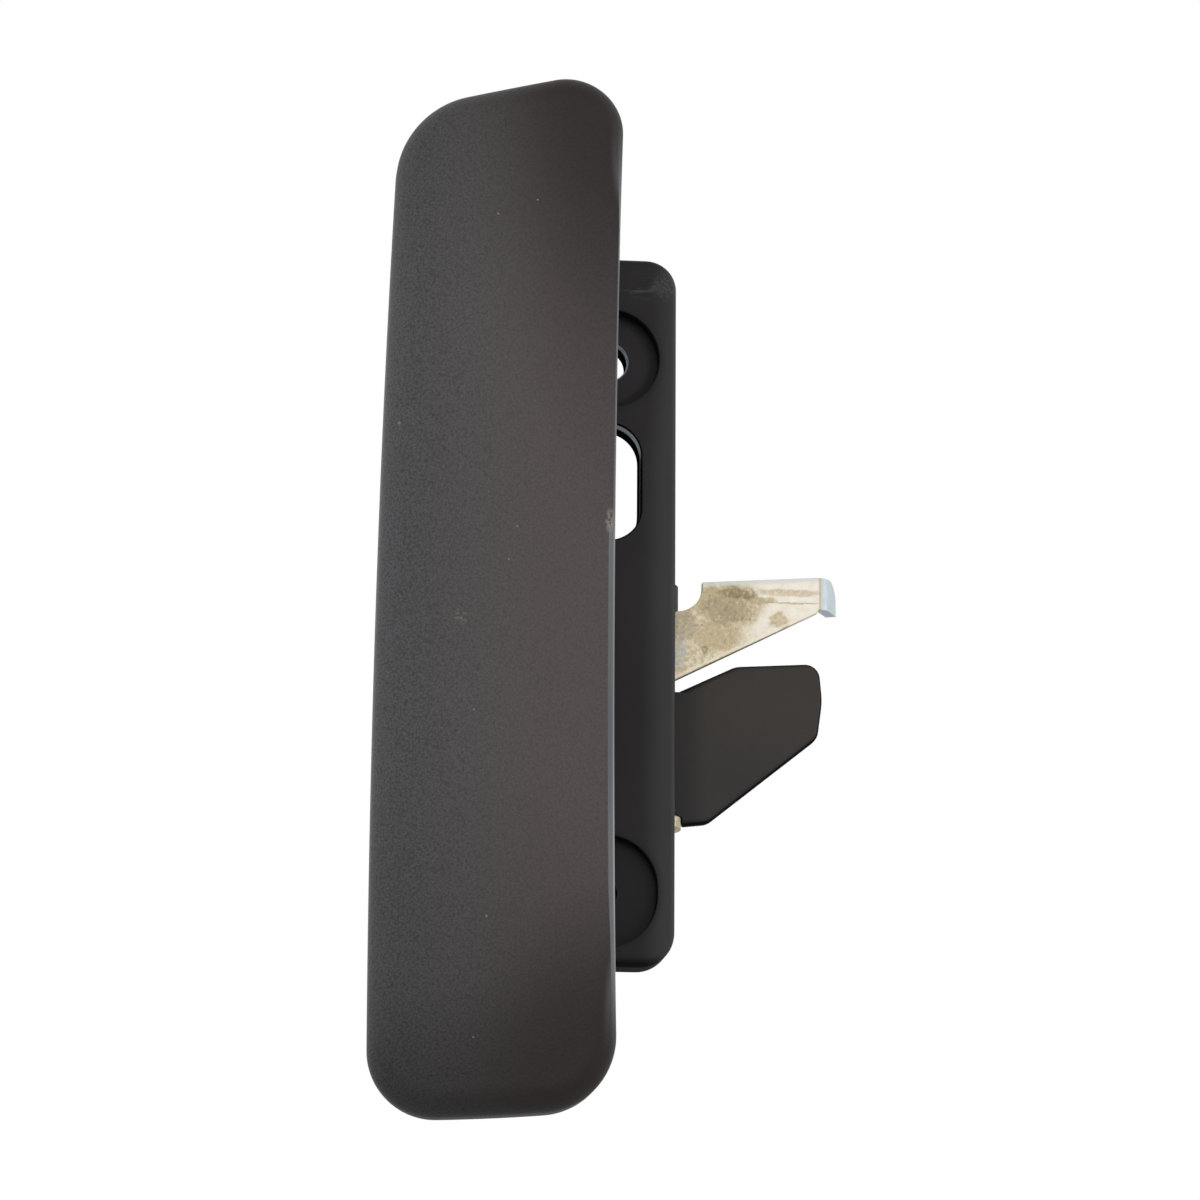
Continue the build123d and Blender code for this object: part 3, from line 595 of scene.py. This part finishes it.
def grip_skin(material):
    """The grip's shell as rings round one outline. From the middle of the front the rings grow
    from a spine to the edge; there the inset falls as 1 - sin a while the depth gains
    edge x (1 - cos a), or at the right in a straight bevel; then the side wall, a small round
    and the rim, and the same inside."""
    count = 760
    outline = rounded_outline(grip_corners, grip_radii, grip_bows, count)
    tangent = np.roll(outline, -1, axis=0) - np.roll(outline, 1, axis=0)
    tangent /= np.linalg.norm(tangent, axis=1, keepdims=True)
    outward = np.stack([-tangent[:, 1], tangent[:, 0]], 1)

    def inset(depth):
        return outline - outward * depth

    def spine_of(ring):
        """A line up the middle, where each point of the right side meets one of the left."""
        across = np.roll(ring[::-1], 1, axis=0)
        low, high = outline[:, 1].min() + spine_short, outline[:, 1].max() - spine_short
        z = np.clip((ring[:, 1] + across[:, 1]) / 2, low, high)
        return np.stack([spine_x + spine_lean * z, z], 1)

    def ring_at(flat, y):
        return np.stack([flat[:, 0], np.broadcast_to(y, len(flat)), flat[:, 1]], 1)

    rings = []
    edge_ring = inset(grip_edge)
    spine = spine_of(edge_ring)
    for f in np.linspace(0.0, 1.0, 26)[:-1] ** 0.9:
        flat = spine + (edge_ring - spine) * f
        rings.append(ring_at(flat, grip_crown(flat[:, 0], flat[:, 1])))
    rim_start = grip_back - rim_round
    height = np.minimum(grip_edge, rim_start - 0.3 - grip_crown(outline[:, 0], outline[:, 1]))
    to_end = np.clip((bevel_end - np.abs(outline[:, 1] - grip_mid_z)) / bevel_fade, 0, 1)
    bevelled = np.clip((outline[:, 0] + 4.0) / 3.0, 0, 1) * to_end**2 * (3 - 2 * to_end)
    bevel = np.interp(outline[:, 1], bevel_heights, bevel_widths)
    for t in (*np.linspace(0, 0.45, 6), 0.49, 0.5, 0.51, *np.linspace(0.55, 1, 8)):
        a = t * pi / 2
        near, far = np.clip(2 * t, 0, 1), np.clip(2 * t - 1, 0, 1)
        straight_in = grip_edge - (grip_edge - bevel) * near - bevel * far
        drawn = grip_edge * (1 - sin(a)) * (1 - bevelled) + straight_in * bevelled
        gained = (1 - cos(a)) * (1 - bevelled) + far * bevelled
        flat = inset(drawn[:, None])
        rings.append(ring_at(flat, grip_crown(flat[:, 0], flat[:, 1]) + height * gained))
    last = rings[-1][:, 1]
    for u in (0.35, 0.7, 1.0):
        rings.append(ring_at(inset(0.0), last + (rim_start - last) * u))
    for a in (30, 60, 90):
        drawn, gained = rim_width * (1 - cos(radians(a))), rim_round * sin(radians(a))
        rings.append(ring_at(inset(drawn), rim_start + gained))
    inner_rim = grip_back - rim_inner_round
    rings.append(ring_at(inset(grip_wall - rim_inner_round), grip_back))
    rings.append(ring_at(inset(grip_wall), inner_rim))
    inner = inset(grip_wall)
    inner_depth = grip_crown(inner[:, 0], inner[:, 1]) + grip_wall
    for u in (0.5, 1.0):
        rings.append(ring_at(inner, inner_rim + (inner_depth - inner_rim) * u))
    for f in (0.8, 0.5, 0.2, 0.0):
        flat = spine + (inner - spine) * f
        rings.append(ring_at(flat, grip_crown(flat[:, 0], flat[:, 1]) + grip_wall))
    points = np.concatenate(rings)
    return new_piece("grip_skin", points, grid_faces(len(rings), count), material)


def spring_wire(material):
    """The return spring: a round wire carried along a straight leg, a helix about the pin and
    a second leg. A circle of the wire's radius is set square to the path at each point."""
    turned = np.linspace(0, 2 * pi * coil_turns, coil_steps * coil_turns + 1)
    x = pin[0] + coil_radius * np.sin(turned)
    y = pin[1] - coil_radius * np.cos(turned)
    helix = np.stack([x, y, coil_low + turned / (2 * pi) * coil_pitch], 1)
    heading = np.array([2 * pi * coil_radius, 0.0, coil_pitch])
    heading /= np.linalg.norm(heading)
    first = helix[0] - heading * np.linspace(fixed_leg, 0.4, 14)[:, None]
    last = helix[-1] + heading * np.linspace(0.4, moving_leg, 6)[:, None]
    path = np.concatenate([first, helix, last])
    along = np.gradient(path, axis=0)
    along /= np.linalg.norm(along, axis=1, keepdims=True)
    side = np.cross(along, [0.0, 0.0, 1.0])
    side /= np.linalg.norm(side, axis=1, keepdims=True)
    up = np.cross(side, along)
    turn = np.linspace(0, 2 * pi, wire_sides, endpoint=False)
    ring = side[:, None] * np.cos(turn)[None, :, None] + up[:, None] * np.sin(turn)[None, :, None]
    points = (path[:, None] + ring * wire_radius).reshape(-1, 3)
    made = new_piece("spring_wire", points, grid_faces(len(path), wire_sides), material)
    close_ends(made)
    return made


def close_ends(piece):
    """Fills the open rings of a tube and turns every face outwards."""
    work = bmesh.new()
    work.from_mesh(piece.data)
    bmesh.ops.remove_doubles(work, verts=work.verts, dist=1e-7)
    loose = [e for e in work.edges if e.is_boundary]
    if loose:
        bmesh.ops.holes_fill(work, edges=loose, sides=0)
    bmesh.ops.recalc_face_normals(work, faces=work.faces)
    work.to_mesh(piece.data)
    work.free()


def dress(material, *nodes):
    """Gives CAD nodes a material in each of their slots."""
    for name in nodes:
        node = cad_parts[name]
        if not node.material_slots:
            node.data.materials.append(material)
        for place in node.material_slots:
            place.material = material


def lamp(name, place, power, size, colour):
    """A square area lamp that faces the object, with place and size in metres."""
    data = bpy.data.lights.new(name, "AREA")
    data.energy = power
    data.size = size
    data.color = colour
    made = bpy.data.objects.new(name, data)
    made.location = place
    made.rotation_mode = "QUATERNION"
    made.rotation_quaternion = (-Vector(place)).to_track_quat("-Z", "Y")
    made.visible_camera = False
    bpy.context.scene.collection.objects.link(made)


def set_world():
    """White to the camera, to reflections and through clear parts; a plain soft light otherwise."""
    world = bpy.data.worlds.new("studio")
    bpy.context.scene.world = world
    world.use_nodes = True
    tree = world.node_tree
    tree.nodes.clear()
    out = tree.nodes.new("ShaderNodeOutputWorld")
    seen = tree.nodes.new("ShaderNodeBackground")
    seen.inputs["Strength"].default_value = 1.0
    seen.inputs["Color"].default_value = (1.0, 1.0, 1.0, 1.0)
    soft = tree.nodes.new("ShaderNodeBackground")
    soft.inputs["Color"].default_value = (1.0, 1.0, 1.0, 1.0)
    soft.inputs["Strength"].default_value = room_light
    path = tree.nodes.new("ShaderNodeLightPath")
    either = tree.nodes.new("ShaderNodeMath")
    either.operation = "MAXIMUM"
    also = tree.nodes.new("ShaderNodeMath")
    also.operation = "MAXIMUM"
    mix = tree.nodes.new("ShaderNodeMixShader")
    link = tree.links.new
    link(path.outputs["Is Camera Ray"], either.inputs[0])
    link(path.outputs["Is Glossy Ray"], either.inputs[1])
    link(either.outputs[0], also.inputs[0])
    link(path.outputs["Is Transmission Ray"], also.inputs[1])
    link(also.outputs[0], mix.inputs[0])
    link(soft.outputs[0], mix.inputs[1])
    link(seen.outputs[0], mix.inputs[2])
    link(mix.outputs[0], out.inputs["Surface"])


def set_floor():
    """A pale floor well below the handle, which hangs as it does on its door."""
    f = Finish("floor_pale", (0.86, 0.86, 0.86), 0.9, specular_ior_level=0.1)
    tone = f.noise(3.0, 2.0)
    f.set("Base Color", f.mix(tone, (0.85, 0.85, 0.85), (0.87, 0.87, 0.87)))
    square = np.array([[-1, -1], [1, -1], [1, 1], [-1, 1]]) * floor_reach
    corners = np.concatenate([square, np.full((4, 1), floor_height)], 1)
    floor = new_piece("floor", corners, np.array([[0, 1, 2, 3]]), f.material, smooth=False)


def set_camera():
    """The photograph's camera, from its azimuth, elevation, roll and distance to its target."""
    azimuth, elevation, roll = (radians(v) for v in (camera_azimuth, camera_elevation, camera_roll))
    back = Vector((sin(azimuth) * cos(elevation), -cos(azimuth) * cos(elevation), sin(elevation)))
    right = (-back).cross(Vector((0, 0, 1))).normalized()
    up = right.cross(-back)
    turned_right = cos(roll) * right + sin(roll) * up
    turned_up = cos(roll) * up - sin(roll) * right
    data = bpy.data.cameras.new("camera")
    data.lens = camera_lens
    data.sensor_width = 36.0
    data.clip_start = 0.01
    data.clip_end = 20.0
    made = bpy.data.objects.new("camera", data)
    bpy.context.scene.collection.objects.link(made)
    turn = Matrix((turned_right, turned_up, back)).transposed()
    stand = (Vector(camera_target) + back * camera_distance) * MM
    made.matrix_world = Matrix.Translation(stand) @ turn.to_4x4()
    bpy.context.scene.camera = made


set_camera()
set_world()
set_floor()
lamp("front", (0.05, -1.35, 0.33), 4.0, 0.55, (1.0, 0.965, 0.94))
lamp("right", (1.1, -0.25, 0.25), 3.0, 0.6, (0.93, 0.96, 1.0))
lamp("left", (-1.2, -0.4, 0.2), 2.5, 0.7, (0.9, 0.96, 1.0))
bpy.context.scene.view_settings.view_transform = "Standard"

grip_finish = grained_plastic()
plate_finish = plate_plastic()
blade_finish = blade_plastic()
zinc_finish = stained_zinc()
pin_finish = plated_steel("pin_steel", (0.62, 0.60, 0.54), 0.32)
screw_finish = plated_steel("screw_steel", (0.52, 0.53, 0.54), 0.34)
wire_finish = plated_steel("spring_steel", (0.36, 0.36, 0.37), 0.36)
foam_finish = soft_black("gasket_foam", (0.02, 0.02, 0.021), 0.85, 1600.0, 0.06)
rubber_finish = soft_black("buffer_rubber", (0.022, 0.022, 0.023), 0.7, 2600.0, 0.02)
nylon_finish = nylon()

dress(plate_finish, "base_plate")
dress(blade_finish, "rocker")
dress(zinc_finish, "release_lever")
dress(pin_finish, "hinge_pin", "pin_clip", "pin_washer")
dress(screw_finish, *[f"cover_screw_{n}" for n in range(1, 7)])
dress(foam_finish, "seal_gasket")
dress(rubber_finish, "closing_buffer_upper", "closing_buffer_lower")
dress(nylon_finish, "spring_sleeve", "hub_bush_upper", "hub_bush_lower")
dress(nylon_finish, "ear_bush_upper", "ear_bush_lower")

skin = grip_skin(grip_finish)
close_ends(skin)
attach(skin, "grip")
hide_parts("grip_cover")

wire = spring_wire(wire_finish)
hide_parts("return_spring")
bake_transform(wire)
